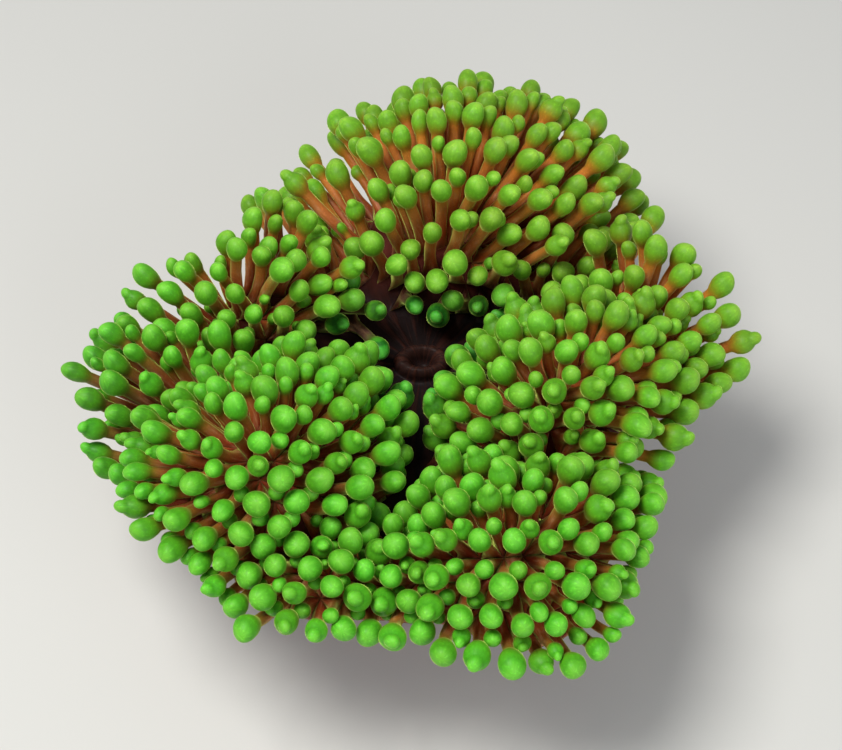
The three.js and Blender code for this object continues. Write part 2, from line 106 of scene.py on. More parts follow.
# A plain bulb is an egg with its widest place near the tip. A knobbed one is a ball with a smaller
# ball on it. Heights are from the solid bulb's middle, in bulb radii.
EGG_MIDDLE = 0.26
EGG_FOOT = 1.75
EGG_TIP = 1.28
EGG_STEPS = (-0.94, -0.62, -0.25, 0.1, 0.4, 0.66, 0.87, 1.04, 1.16, 1.23, 1.265)
BALL_FOOT = 1.22
KNOB_TIP = 1.5
KNOB_RADIUS = 0.55
EGG_POWER, BALL_POWER = 0.9, 0.6  # how they narrow towards the neck
KNOB_STEPS = (-0.94, -0.6, -0.2, 0.2, 0.48, 0.68, 0.8, 0.88, 0.98, 1.14, 1.28, 1.4, 1.48)
BLEND = 8  # how sharply ball and knob meet
# The chance of a knob: anywhere, and how much more in front and in the hollow
KNOB_CHANCE, KNOB_IN_FRONT, KNOB_IN_HOLLOW = 0.08, 0.24, 0.5
FRONT_SLANT, FRONT_EDGE, FRONT_FADE = 0.5, 10, 110  # where the front begins
ROOT_SHADE = 0.7  # the share of a stalk over which the painted shade at its root fades
BOW = 1.5  # how far a stalk bends from a straight line
LEAST_BOW = 0.3  # the share of it that every long stalk has
BOW_LENGTH = 30  # a stalk shorter than this bends less
TIP_BEND = 0.12  # how far a tip leans to a side
DENT = 0.035  # how uneven a ring is, as a share of its radius
DENT_TWIST = 0.12  # how far its small dents wind round, in radians to a millimetre
# Young tentacles, tried in turn: length as a share of their neighbours', and the bulb's radius
YOUNG_SIZES = [
    (0.98, 4.5), (0.98, 4.0), (0.9, 4.3), (0.98, 3.4), (0.84, 4.0), (0.9, 3.1), (0.74, 3.7), (0.64, 3.5),
    (0.54, 3.1), (0.44, 2.7),
]
YOUNG_OVERLAP = 0.5  # how far the balls that stand for a young one may reach into others
LEAST_BESIDE = 2  # a young one grows where so many neighbours have a tentacle
HOLLOW_RADIUS = 42  # no young ones so near the mouth
VALLEY_FLOOR = 3  # nor on the disc between two folds, below this height of either
FREE_EDGE = 0.8  # the share of the way to the edge at which the valleys end
STALK_BALLS = (0.5, 0.62, 0.74, 0.86)  # heights of a stalk's balls, as shares of its length
BULB_BALLS = ((0.1, BULB_FIT), (0.8, 0.6))  # height and radius of a bulb's balls, in bulb radii

WELD = 0.01  # points of a solid closer than this are one
SAME_PLACE = 1.3  # points of two parts closer than this are one place of the net
SHARPEST = 3.8  # a tip's corners add up to less than this, in radians
CUT_REACH = 3  # a point this far below the disc's upper side is on its underside

# What each of a tentacle's chances is for
KNOB, BOW_TURN, TIP_TURN, BOW_SIZE, HUE, OWN, DENT_TURN, SLIM = range(11, 19)


def chance(index, salt):
    """A number from 0 to 1 that looks random and is the same every time: the usual sine hash."""
    value = math.sin(index * 12.9898 + salt * 78.233) * 43758.5453
    return value - math.floor(value)


def smooth(share):
    """A share from 0 to 1, eased at both ends."""
    share = np.clip(share, 0, 1)
    return share * share * (3 - 2 * share)


def unit(vector):
    return vector / np.linalg.norm(vector)


# ---- The form of the disc, as in the solids ----


def edge_radius(angle):
    radius = EDGE_RADIUS
    for direction, out, width in EDGE_LOBES:
        away = (angle - math.radians(direction) + math.pi) % TURN - math.pi
        radius = radius + out * np.exp(-((away / math.radians(width)) ** 2))
    return radius


def fold_height(x, y):
    total = 0
    for fold_x, fold_y, long, wide, turn, rise in FOLDS:
        turn = math.radians(turn)
        along = (x - fold_x) * math.cos(turn) + (y - fold_y) * math.sin(turn)
        across = (y - fold_y) * math.cos(turn) - (x - fold_x) * math.sin(turn)
        inside = np.maximum(0, 1 - (along / long) ** 2 - (across / wide) ** 2)
        total = total + (rise * inside**FOLD_STEEPNESS) ** 2
    return np.sqrt(total)


def edge_share(x, y):
    return np.hypot(x, y) / edge_radius(np.arctan2(y, x))


def disc_height(x, y):
    out = np.minimum(1, edge_share(x, y))
    cup = COLUMN_TOP + VALLEY_HEIGHT + CUP_DEPTH * out**2
    return cup + fold_height(x, y) - EDGE_DROOP * out**DROOP_POWER


def underside_height(x, y):
    angle = np.arctan2(y, x)
    edge = edge_radius(angle)
    edge_height = disc_height(edge * np.cos(angle), edge * np.sin(angle)) - EDGE_THICKNESS
    top = COLUMN_OUTLINE[-1][1]
    out = np.clip((np.hypot(x, y) - top) / (edge - top), 0, 1)
    flared = COLUMN_TOP + np.maximum(0, edge_height - COLUMN_TOP) * out**UNDERSIDE_POWER
    return np.minimum(flared, disc_height(x, y) - LEAST_THICKNESS)


# ---- What the solids say: the net of the disc and the tentacles ----


def welded(node):
    """A solid's points, each once, and its triangles."""
    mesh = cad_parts[node].data
    points = np.empty(len(mesh.vertices) * 3)
    mesh.vertices.foreach_get("co", points)
    points = points.reshape(-1, 3) / MM
    mesh.calc_loop_triangles()
    triangles = np.empty(len(mesh.loop_triangles) * 3, dtype=int)
    mesh.loop_triangles.foreach_get("vertices", triangles)
    grid = np.round(points / WELD).astype(int)
    _, first, number = np.unique(grid, axis=0, return_index=True, return_inverse=True)
    return points[first], number.ravel()[triangles].reshape(-1, 3)


def corner_sums(points, triangles):
    """The angles of the triangles at each point, added up: small where the solid is sharp."""
    sums = np.zeros(len(points))
    for corner in range(3):
        here, one, other = (points[triangles[:, (corner + step) % 3]] for step in range(3))
        one, other = one - here, other - here
        lengths = np.linalg.norm(one, axis=1) * np.linalg.norm(other, axis=1)
        angles = np.arccos(np.clip((one * other).sum(axis=1) / lengths, -1, 1))
        np.add.at(sums, triangles[:, corner], angles)
    return sums


def make_tentacle(root, centre, bulb):
    length = np.linalg.norm(centre - root)
    return {"root": root, "axis": (centre - root) / length, "length": length, "bulb": bulb}


def read_tentacles(points, triangles):
    """Each tentacle of a solid, with its three root corners, found from its sharp tip."""
    near = [set() for _ in points]
    for a, b, c in triangles.tolist():
        near[a] |= {b, c}
        near[b] |= {a, c}
        near[c] |= {a, b}
    found, used = [], set()
    for tip in np.flatnonzero(corner_sums(points, triangles) < SHARPEST).tolist():
        widest = near[tip]
        neck = set().union(*(near[point] for point in widest)) - widest - {tip}
        corners = set().union(*(near[point] for point in neck)) - widest - neck
        if (len(widest), len(neck), len(corners)) != SOLID_SIDES:
            continue
        middle = points[list(widest)].mean(axis=0)
        bulb = np.linalg.norm(points[tip] - middle) / (TIP_HEIGHT + SOLID_RING)
        axis = unit(points[tip] - middle)
        found.append((corners, points[tip] - TIP_HEIGHT * bulb * axis, bulb))
        used |= widest | neck | {tip}
    return found, used


def read_net():
    """The net's places, and its triangles, each with its places in turn as seen from above."""
    corners_found, triangles = [], []
    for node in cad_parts:
        if not node.startswith("crown") and node != "oral_disc":
            continue
        points, faces = welded(node)
        tentacles, used = read_tentacles(points, faces)
        upper = points[:, 2] > disc_height(points[:, 0], points[:, 1]) - CUT_REACH
        upper[list(used)] = False
        first = len(corners_found)
        corners_found.extend(points)
        bare = node == "oral_disc"
        for face in faces[upper[faces].all(axis=1)].tolist():
            triangles.append({"corners": [first + i for i in face], "bare": bare})
        for corners, centre, bulb in tentacles:
            corners = [first + i for i in corners]
            triangles.append({"corners": corners, "bare": bare, "end": (centre, bulb)})
    places = join_places(np.array(corners_found), triangles)
    for triangle in triangles:
        a, b, c = triangle["corners"]
        ab, ac = places[b] - places[a], places[c] - places[a]
        if ab[0] * ac[1] - ab[1] * ac[0] < 0:
            triangle["corners"] = [a, c, b]
    triangles.sort(key=lambda triangle: tuple(sorted(triangle["corners"])))
    for triangle in triangles:
        x, y = places[triangle["corners"]].mean(axis=0)
        if "end" in triangle:
            centre, bulb = triangle["end"]
            root = np.array([x, y, disc_height(x, y)])
            triangle["tentacle"] = make_tentacle(root, centre, bulb)
    return places, triangles


def join_places(points, triangles):
    """Joins the corners of the net across the thin cuts between the parts."""
    used = sorted({corner for triangle in triangles for corner in triangle["corners"]})
    tree = kdtree.KDTree(len(used))
    for number, corner in enumerate(used):
        tree.insert((points[corner][0], points[corner][1], 0), number)
    tree.balance()
    groups = {}
    place_of = {}
    for number, corner in enumerate(used):
        around = tree.find_range((points[corner][0], points[corner][1], 0), SAME_PLACE)
        group = tuple(sorted(found[1] for found in around))
        place_of[corner] = groups.setdefault(group, len(groups))
    for triangle in triangles:
        triangle["corners"] = [place_of[corner] for corner in triangle["corners"]]
    return np.array([points[[used[i] for i in group]].mean(axis=0)[:2] for group in groups])


def sides_of(triangle):
    a, b, c = triangle["corners"]
    return [(a, b), (b, c), (c, a)]


def outline(triangles):
    """The places round a group of triangles, in turn as seen from above."""
    sides = {side for triangle in triangles for side in sides_of(triangle)}
    after = {a: b for a, b in sides if (b, a) not in sides}
    place = min(after)
    loop = []
    while place not in loop:
        loop.append(place)
        place = after[place]
    return loop


# ---- Young tentacles between the grown ones ----


def neck_of(bulb):
    """The stalk's radius below a bulb. Small bulbs have thinner stalks."""
    return NECK * min(1, LEAST_NECK + (1 - LEAST_NECK) * bulb / FULL_NECK_BULB)


def balls_of(tentacle):
    """Balls that fill a tentacle's upper stalk and its bulb."""
    root, axis, length, bulb = (tentacle[key] for key in ("root", "axis", "length", "bulb"))
    stalk = [(root + axis * length * share, neck_of(bulb)) for share in STALK_BALLS]
    head = [(root + axis * (length + height * bulb), radius * bulb) for height, radius in BULB_BALLS]
    return [*stalk, *head]


def grow_young(places, triangles):
    """Fills the gaps in the crown with smaller tentacles, each on a free triangle of the net."""
    by_side = {side: triangle for triangle in triangles for side in sides_of(triangle)}
    grown = [triangle["tentacle"] for triangle in triangles if "tentacle" in triangle]
    balls = [ball for tentacle in grown for ball in balls_of(tentacle)]
    centres = np.array([centre for centre, _ in balls])
    radii = np.array([radius for _, radius in balls])
    for triangle in triangles:
        x, y = places[triangle["corners"]].mean(axis=0)
        in_hollow = math.hypot(x - MOUTH_X, y - MOUTH_Y) < HOLLOW_RADIUS
        in_valley = fold_height(x, y) < VALLEY_FLOOR and edge_share(x, y) < FREE_EDGE
        if "tentacle" in triangle or triangle["bare"] or in_hollow or in_valley:
            continue
        beside = [by_side.get((b, a), {}).get("tentacle") for a, b in sides_of(triangle)]
        beside = [tentacle for tentacle in beside if tentacle]
        if len(beside) < LEAST_BESIDE:
            continue
        root = np.array([x, y, disc_height(x, y)])
        axis = unit(sum(tentacle["axis"] for tentacle in beside))
        length = sum(tentacle["length"] for tentacle in beside) / len(beside)
        for share, bulb in YOUNG_SIZES:
            young = make_tentacle(root, root + axis * length * share, bulb)
            new = balls_of(young)
            gaps = [np.linalg.norm(centres - centre, axis=1) - radii - radius for centre, radius in new]
            if min(gap.min() for gap in gaps) > -YOUNG_OVERLAP:
                triangle["tentacle"] = young
                centres = np.vstack([centres, [centre for centre, _ in new]])
                radii = np.append(radii, [radius for _, radius in new])
                break


# ---- The skin ----

# What the finish reads at a point: the place between root, neck and tip, the tentacle's own chance,
# green or olive, and how much painted shade it has
LOOKS = ("grow", "own", "hue", "painted_shade")
TENTACLE, DISC, COLUMN = 0, 1, 2  # the skin's finishes


def corner_places(*pairs):
    """The places of faces' corners on the bake map, from each corner's distances along and up."""
    return np.stack([np.stack(pair, axis=1) for pair in pairs], axis=1)


class Skin:
    """Collects the points and faces of one surface, with what the finish needs to know at each."""

    def __init__(self):
        self.points, self.looks, self.grain = [], [], []
        self.faces, self.maps, self.finishes = [], [], []
        self.count = 0
        self.joined = np.empty((0, 3))

    def add_points(self, points, looks, grain):
        points = np.reshape(points, (-1, 3))
        self.points.append(points)
        self.looks.append(np.broadcast_to(looks, (len(points), len(LOOKS))))
        self.grain.append(np.broadcast_to(grain, (len(points), 3)))
        self.count += len(points)
        return np.arange(self.count - len(points), self.count)

    def at(self, numbers):
        """The points with these numbers."""
        if len(self.joined) < self.count:
            self.joined = np.concatenate(self.points)
        return self.joined[numbers]

    def add_faces(self, corners, places, finish):
        """Adds faces, with the place of each of their corners on the bake map."""
        self.faces.extend(np.asarray(corners).tolist())
        self.maps.append(np.reshape(places, (-1, 2)))
        self.finishes.extend([finish] * len(corners))

    def add_band(self, lower, upper, patch, low, high, finish):
        """Joins two closed rings, whose faces look outwards from lower to upper."""
        if len(upper) == 2 * len(lower):
            self.add_reducing_band(lower, upper, patch, low, high, finish)
            return
        corners = np.stack([lower, np.roll(lower, -1), np.roll(upper, -1), upper], axis=1)
        start = np.arange(len(lower)) / len(lower)
        end = start + 1 / len(lower)
        lows, highs = np.full_like(start, low), np.full_like(start, high)
        places = corner_places((start, lows), (end, lows), (end, highs), (start, highs))
        self.add_faces(corners, patch(places), finish)

    def add_reducing_band(self, lower, upper, patch, low, high, finish):
        """Joins a ring to one with twice its points."""
        after = np.roll(lower, -1)
        even, odd, next_even = upper[0::2], upper[1::2], np.roll(upper[0::2], -1)
        start = np.arange(len(lower)) / len(lower)
        middle, end = start + 0.5 / len(lower), start + 1 / len(lower)
        lows, highs = np.full_like(start, low), np.full_like(start, high)
        for corners, map_places in (
            ((lower, after, odd), ((start, lows), (end, lows), (middle, highs))),
            ((lower, odd, even), ((start, lows), (middle, highs), (start, highs))),
            ((after, next_even, odd), ((end, lows), (end, highs), (middle, highs))),
        ):
            self.add_faces(np.stack(corners, axis=1), patch(corner_places(*map_places)), finish)

    def add_fan(self, ring, tip, patch, low, high, finish):
        """Closes a ring with a point."""
        start = np.arange(len(ring)) / len(ring)
        end = start + 1 / len(ring)
        lows, highs = np.full_like(start, low), np.full_like(start, high)
        places = corner_places((start, lows), (end, lows), ((start + end) / 2, highs))
        corners = np.stack([ring, np.roll(ring, -1), np.full_like(ring, tip)], axis=1)
        self.add_faces(corners, patch(places), finish)

    def add_loft(self, rings, tip, patch, finish):
        """Joins rings in turn and closes the last with a point."""
        for number in range(len(rings) - 1):
            low, high = number / len(rings), (number + 1) / len(rings)
            self.add_band(rings[number], rings[number + 1], patch, low, high, finish)
        self.add_fan(rings[-1], tip, patch, (len(rings) - 1) / len(rings), 1, finish)

    def make_object(self, name, materials):
        points = np.concatenate(self.points) * MM
        mesh = bpy.data.meshes.new(name)
        mesh.from_pydata(points.tolist(), [], self.faces)
        layer = mesh.uv_layers.new(name="OFBake")
        layer.data.foreach_set("uv", np.concatenate(self.maps).ravel())
        mesh.polygons.foreach_set("use_smooth", np.ones(len(self.faces), dtype=bool))
        mesh.polygons.foreach_set("material_index", self.finishes)
        for number, look in enumerate(LOOKS):
            values = np.concatenate(self.looks)[:, number]
            mesh.attributes.new(look, "FLOAT", "POINT").data.foreach_set("value", values.copy())
        grain = np.concatenate(self.grain)
        mesh.attributes.new("grain", "FLOAT_VECTOR", "POINT").data.foreach_set("vector", grain.ravel())
        for material in materials:
            mesh.materials.append(material)
        mesh.update()
        obj = bpy.data.objects.new(name, mesh)
        bpy.context.scene.collection.objects.link(obj)
        return obj


# ---- The bake map: a patch for each tentacle, and for the disc, mouth, column and sole ----
#
# The map is too small for this many tentacles: those past the first CELLS * CELLS have patches that
# lie over the patches of the disc, mouth, column and sole.

CELLS = 24  # tentacles in a row of the map
TENTACLE_PATCHES = 0.7  # the share of the map's height for the first CELLS rows
CELL_MARGIN = 0.06


def tentacle_patch(number):
    column, row = number % CELLS, number // CELLS
    height = TENTACLE_PATCHES / CELLS

    def patch(places):
        inner = CELL_MARGIN + (1 - 2 * CELL_MARGIN) * places
        return (inner + [column, row]) * [1 / CELLS, height]

    return patch


def box_patch(left, right, bottom, top):
    def patch(places):
        return places * [right - left, top - bottom] + [left, bottom]

    return patch


DISC_PATCH = box_patch(0.01, 0.28, 0.715, 0.985)
BODY_PATCH = box_patch(0.30, 0.84, 0.715, 0.985)
SOLE_PATCH = box_patch(0.86, 0.99, 0.86, 0.985)
MOUTH_PATCH = box_patch(0.86, 0.99, 0.715, 0.84)
DISC_REACH = 150


def disc_map(points):
    return DISC_PATCH(0.5 + points[..., :2] / (2 * DISC_REACH))


# ---- What the finish needs to know at a place ----


HUE_MIDDLE, HUE_BACK, HUE_RIGHT, HUE_REACH = 0.45, 0.75, 0.4, 190
HUE_SPREAD = 0.16  # how far the hues of neighbours differ
# Painted shade on the bulbs: round the mouth, below a height, and at the far left
SHADE_RADIUS, SHADE_FADE = 58, 24  # round the mouth
SHADE_HEIGHT, SHADE_RISE = 114, 16
SHADY_LEFT, SHADY_FADE, SHADY_STRENGTH = -90, 45, 0.4
DISC_LINES = 9  # fineness of the disc's lines round the mouth
LINE_LENGTH = 22
MOTTLE_X, MOTTLE_Y, MOTTLE_START = 0.21, 0.17, 1.3
EDGE_LIGHT = 3  # how close to the edge the painted shade on the disc fades out


def hue_at(x, y):
    """From 0, pure green at the front left, to 1, olive at the back and the right."""
    return smooth(HUE_MIDDLE + (HUE_BACK * y + HUE_RIGHT * x) / HUE_REACH)


def painted_shade_at(end):
    """Painted shade on a bulb: 1 in the hollow round the mouth, less at the far left, 0 elsewhere."""
    x, y, z = end
    near_mouth = smooth((SHADE_RADIUS - math.hypot(x - MOUTH_X, y - MOUTH_Y)) / SHADE_FADE)
    hollow = near_mouth * smooth((SHADE_HEIGHT - z) / SHADE_RISE)
    return float(max(hollow, SHADY_STRENGTH * smooth((SHADY_LEFT - x) / SHADY_FADE)))


def disc_grain(points):
    away = points[..., :2] - [MOUTH_X, MOUTH_Y]
    distance = np.maximum(1e-6, np.linalg.norm(away, axis=-1))
    across = [DISC_LINES * away[..., axis] / distance for axis in (0, 1)]
    return np.stack([*across, distance / LINE_LENGTH], axis=-1)


def disc_looks(points):
    x, y = points[..., 0], points[..., 1]
    # Painted shade in the valleys between the folds, fading out near the edge
    painted_shade = 1 - smooth(fold_height(x, y) / VALLEY_DEPTH)
    own = 0.5 + 0.5 * np.sin(MOTTLE_X * x + MOTTLE_START) * np.sin(MOTTLE_Y * y)
    dark = painted_shade * (1 - smooth(edge_share(x, y) ** EDGE_LIGHT))
    return np.stack([np.zeros_like(x), own, hue_at(x, y), dark], axis=-1)


# ---- Parts of the skin ----


class DiscSurface:
    """The disc's upper side, cut into small steps along the sides of its net."""

    def __init__(self, skin, places):
        self.skin, self.places = skin, places
        heights = disc_height(places[:, 0], places[:, 1])
        self.corners = self.add(np.column_stack([places, heights]))
        self.between = {}

    def add(self, points):
        """Adds points to the skin with the looks of the disc."""
        return self.skin.add_points(points, disc_looks(points), disc_grain(points))

    def on_disc(self, flat):
        return np.column_stack([flat, disc_height(flat[:, 0], flat[:, 1])])

    def side(self, a, b):
        """The points of a side, from place a up to, but not including, place b."""
        key = (min(a, b), max(a, b))
        if key not in self.between:
            shares = np.arange(1, SIDE_STEPS)[:, None] / SIDE_STEPS
            points = self.on_disc(self.places[key[0]] * (1 - shares) + self.places[key[1]] * shares)
            self.between[key] = self.add(points)
        inner = self.between[key] if a < b else self.between[key][::-1]
        return np.concatenate([[self.corners[a]], inner])

    def border(self, triangle):
        return np.concatenate([self.side(a, b) for a, b in sides_of(triangle)])

    def border_round(self, triangles):
        """The points round a group of triangles, in turn as seen from above."""
        loop = outline(triangles)
        return np.concatenate([self.side(a, b) for a, b in zip(loop, loop[1:] + loop[:1])])

    def fill(self, triangle):
        """Covers a bare triangle with small ones."""
        a, b, c = triangle["corners"]
        border = self.border(triangle)
        numbers = {}  # by steps along a-b and a-c
        for step in range(SIDE_STEPS):
            numbers[step, 0] = border[step]
            numbers[SIDE_STEPS - step, step] = border[SIDE_STEPS + step]
            numbers[0, SIDE_STEPS - step] = border[2 * SIDE_STEPS + step]
        inner = []
        for i in range(1, SIDE_STEPS):
            for j in range(1, SIDE_STEPS - i):
                along, across = i / SIDE_STEPS, j / SIDE_STEPS
                rest = 1 - along - across
                flat = self.places[a] * rest + self.places[b] * along + self.places[c] * across
                inner.append((i, j, self.on_disc(flat[None])[0]))
        new = self.add(np.array([point for _, _, point in inner]))
        for (i, j, _), number in zip(inner, new):
            numbers[i, j] = number
        corners = []
        for i in range(SIDE_STEPS):
            for j in range(SIDE_STEPS - i):
                corners.append([numbers[i, j], numbers[i + 1, j], numbers[i, j + 1]])
                if i + j < SIDE_STEPS - 1:
                    corners.append([numbers[i + 1, j], numbers[i + 1, j + 1], numbers[i, j + 1]])
        return corners


def egg_radius(height):
    """A plain bulb's radius at a height, both in bulb radii."""
    if height < EGG_MIDDLE:
        return (1 - ((EGG_MIDDLE - height) / EGG_FOOT) ** 2) ** EGG_POWER
    return math.sqrt(1 - ((height - EGG_MIDDLE) / (EGG_TIP - EGG_MIDDLE)) ** 2)


def knobbed_radius(height):
    """A knobbed bulb's radius at a height, both in bulb radii."""
    if height < 0:
        return (1 - (height / BALL_FOOT) ** 2) ** BALL_POWER
    ball = math.sqrt(max(0, 1 - height**2))
    knob = KNOB_RADIUS * math.sqrt(1 - max(0, (height - KNOB_TIP) / KNOB_RADIUS + 1) ** 2)
    return (ball**BLEND + knob**BLEND) ** (1 / BLEND)


def bulb_rings(x, y, painted_shade, index):
    """A bulb's tip and its rings' heights and radii.

    Knobs are common in front and in the hollow and rare elsewhere, where the bulbs are slimmer.
    """
    front = float(smooth(0.5 - (y - FRONT_SLANT * x + FRONT_EDGE) / FRONT_FADE))
    fit = BULB_FIT - LEFT_FIT * float(smooth((FAR_LEFT - x) / LEFT_FADE))
    if chance(index, KNOB) < KNOB_CHANCE + KNOB_IN_FRONT * front + KNOB_IN_HOLLOW * painted_shade:
        return KNOB_TIP, [(height, fit * knobbed_radius(height)) for height in KNOB_STEPS]
    slim = SLIMMEST * (1 - (1 - FRONT_SLIMNESS) * front) * chance(index, SLIM)
    fit *= 1 - slim
    stretch = 1 + STRETCH * slim
    rings = []
    for height in EGG_STEPS:
        lift = stretch if height > 0 else 1
        rings.append((height * lift, fit * egg_radius(height)))
    return EGG_TIP * stretch, rings


# A tentacle's streaks: how fine they are round it, how far each one's are moved, and their length
GRAIN_ROUND = 1.3
GRAIN_SHIFT_X, GRAIN_SHIFT_Y = 37, 11
GRAIN_LENGTH = 11


def grow_tentacle(skin, border, start, tentacle, index):
    """Lofts a tentacle from its root's border, whose points are at start, to its tip."""
    root, axis, length, bulb = (tentacle[key] for key in ("root", "axis", "length", "bulb"))
    first = start[0] - root
    first = unit(first - axis * (first @ axis))
    second = np.cross(axis, first)
    neck_height = length - NECK_BELOW * bulb
    neck = neck_of(bulb)
    spread = np.linalg.norm(start - root - np.outer((start - root) @ axis, axis), axis=1).mean()
    stalk = np.linspace(FLARE_HEIGHTS[-1], neck_height, STALK_STEPS + 1)[1:]
    end = root + axis * length
    hue = float(hue_at(*end[:2])) + HUE_SPREAD * (chance(index, HUE) - 0.5)
    painted_shade = painted_shade_at(end)
    root_painted_shade = float(disc_looks(root)[3])
    tip_height, bulb_part = bulb_rings(end[0], end[1], painted_shade, index)
    rows = []
    for height in (*FLARE_HEIGHTS, *stalk):
        rows.append((height, neck + (spread - neck) * math.exp(-height / FLARE), AROUND))
    for height, radius in bulb_part:
        least = LEAST_BELOW * neck if height < 0 else 0
        rows.append((length + bulb * height, max(bulb * radius, least), 2 * AROUND))
    bow_turn, tip_turn = TURN * chance(index, BOW_TURN), TURN * chance(index, TIP_TURN)
    bow_share = LEAST_BOW + (1 - LEAST_BOW) * chance(index, BOW_SIZE)
    bow = BOW * bow_share * min(1, length / BOW_LENGTH)
    bow_way = first * math.cos(bow_turn) + second * math.sin(bow_turn)
    tip_way = first * math.cos(tip_turn) + second * math.sin(tip_turn)
    own = chance(index, OWN)
    shift_x, shift_y = GRAIN_SHIFT_X * own, GRAIN_SHIFT_Y * own

    rings = [border]
    for height, radius, sides in rows:
        place = (height - length) / bulb
        in_bulb = sides > AROUND
        angles = TURN * np.arange(sides) / sides
        bend = bow * math.sin(math.pi * min(1, height / length))
        centre = root + axis * height + bow_way * bend + tip_way * TIP_BEND * bulb * max(0, place) ** 2
        # Two dents on opposite sides, and three of half their depth that wind round
        wave = 1 + DENT * np.sin(2 * angles + TURN * chance(index, DENT_TURN)) * min(1, height / length)
        wave = wave + 0.5 * DENT * np.sin(3 * angles + DENT_TWIST * height + TURN * own)
        ring = np.outer(np.cos(angles) * wave, first) + np.outer(np.sin(angles) * wave, second)
        points = centre + radius * ring
        if not in_bulb:
            round_share = float(smooth(height / min(ROUNDING, neck_height)))
            points = (start + axis * height) * (1 - round_share) + points * round_share
        grow = 1 + (place + NECK_BELOW) / (tip_height + NECK_BELOW) if in_bulb else height / neck_height
        grain = np.column_stack([
            GRAIN_ROUND * np.cos(angles) + shift_x, GRAIN_ROUND * np.sin(angles) + shift_y,
            np.full(sides, height / GRAIN_LENGTH),
        ])
        # Up the stalk, the painted shade at its root in the disc's valleys gives way to the painted shade
        # of its bulb
        upward = float(smooth(height / (ROOT_SHADE * length)))
        shade = root_painted_shade * (1 - upward) + painted_shade * upward
        rings.append(skin.add_points(points, (grow, own, hue, shade), grain))
    tip_point = root + axis * (length + tip_height * bulb) + tip_way * TIP_BEND * bulb * tip_height**2
    tip = skin.add_points(tip_point, (2, own, hue, painted_shade), (shift_x, shift_y, length / GRAIN_LENGTH))[0]
    skin.add_loft(rings, tip, tentacle_patch(index), TENTACLE)


# The lips: share of the mouth's size, height over the disc
LIPS = [
    (1.0, 0.4), (1.02, 2.2), (0.96, 4.2), (0.84, 5.6), (0.7, 5.9), (0.57, 5.2), (0.46, 3.6), (0.38, 1.4),
    (0.3, -1),
]
DISC_ROWS = (0.14, 0.3, 0.46, 0.62, 0.78, 0.9)  # rings of the bare disc, as shares of the way to the lips
PLEATS = 16
PLEAT_DEPTH, PLEAT_START = 0.05, 3
RIPPLE = 0.35
LIP_GROW, LIP_FADE = 0.35, 4  # how far up the lips turn pale
PIT_DEPTH = 2


def grow_mouth(skin, surface, bare):
    """The bare disc round the mouth and its pleated lips."""
    border = surface.border_round(bare)
    start = skin.at(border)
    middle = np.array([MOUTH_X, MOUTH_Y])
    away = start[:, :2] - middle
    angles = np.arctan2(away[:, 1], away[:, 0])
    oval = np.column_stack([MOUTH_LONG * np.cos(angles), MOUTH_WIDE * np.sin(angles)])
    floor = float(disc_height(MOUTH_X, MOUTH_Y))
    rings = [border]
    for share in DISC_ROWS:
        flat = start[:, :2] * (1 - share) + (middle + oval) * share
        points = surface.on_disc(flat)
        points[:, 2] += RIPPLE * np.sin(PLEATS * 2 * angles) * math.sin(math.pi * share)
        rings.append(surface.add(points))
    for share, height in LIPS:
        pleat = 1 + PLEAT_DEPTH * np.cos(PLEATS * angles) * smooth(height / PLEAT_START)
        flat = middle + oval * (share * pleat)[:, None]
        points = np.column_stack([flat, np.full(len(flat), floor + height)])
        looks = disc_looks(points)
        looks[:, 0] = LIP_GROW * smooth(height / LIP_FADE)
        rings.append(skin.add_points(points, looks, disc_grain(points)))
    pit = np.array([[MOUTH_X, MOUTH_Y, floor - PIT_DEPTH]])
    tip = surface.add(pit)[0]
    skin.add_loft(rings, tip, MOUTH_PATCH, DISC)


# The rounded rim: how far in from the edge and how far below it
RIM = [(0.1, 1.7), (0.5, 3.8), (1.6, 6.0), (3.6, 7.8)]
UNDERSIDE_ROWS = 9
COLUMN_ROWS = 24
SOLE_ROWS = (0.8, 0.55, 0.3)
ROW_SPACING = 1.15  # rows lie closer together towards the foot
UNDERSIDE_RIDGE = 0.5
# Depths of the column's detail, as shares of its radius
RIDGES, RIDGE_DEPTH, RIDGE_WANDER = 24, 0.006, 0.6
WRINKLE, WRINKLE_DEPTH, WRINKLE_WANDER = 3.4, 0.004, 1.5
FOOT_LOBES, LOBE_DEPTH = 7, 0.012
STREAKS, STREAK_LENGTH = 8, 18


def column_radius(height, angles):
    heights, radii = zip(*COLUMN_OUTLINE)
    radius = np.interp(height, heights, radii)
    share = np.clip((height - FOOT_HEIGHT) / (COLUMN_TOP - FOOT_HEIGHT), 0, 1)
    on_column = smooth(height / FOOT_HEIGHT)
    crease = CREASE_DEPTH * (1 - share) * np.cos(CREASES * angles)
    ridge = RIDGE_DEPTH * share * np.cos(RIDGES * angles + RIDGE_WANDER * np.sin(3 * angles))
    wrinkle_turn = height * TURN / WRINKLE + WRINKLE_WANDER * np.sin(5 * angles)
    wrinkle = WRINKLE_DEPTH * (1 - share) * np.sin(wrinkle_turn)
    lobing = LOBE_DEPTH * (1 - on_column) * np.sin(FOOT_LOBES * angles + 1)
    return radius * (1 + on_column * (crease + ridge + wrinkle) - abs(lobing))


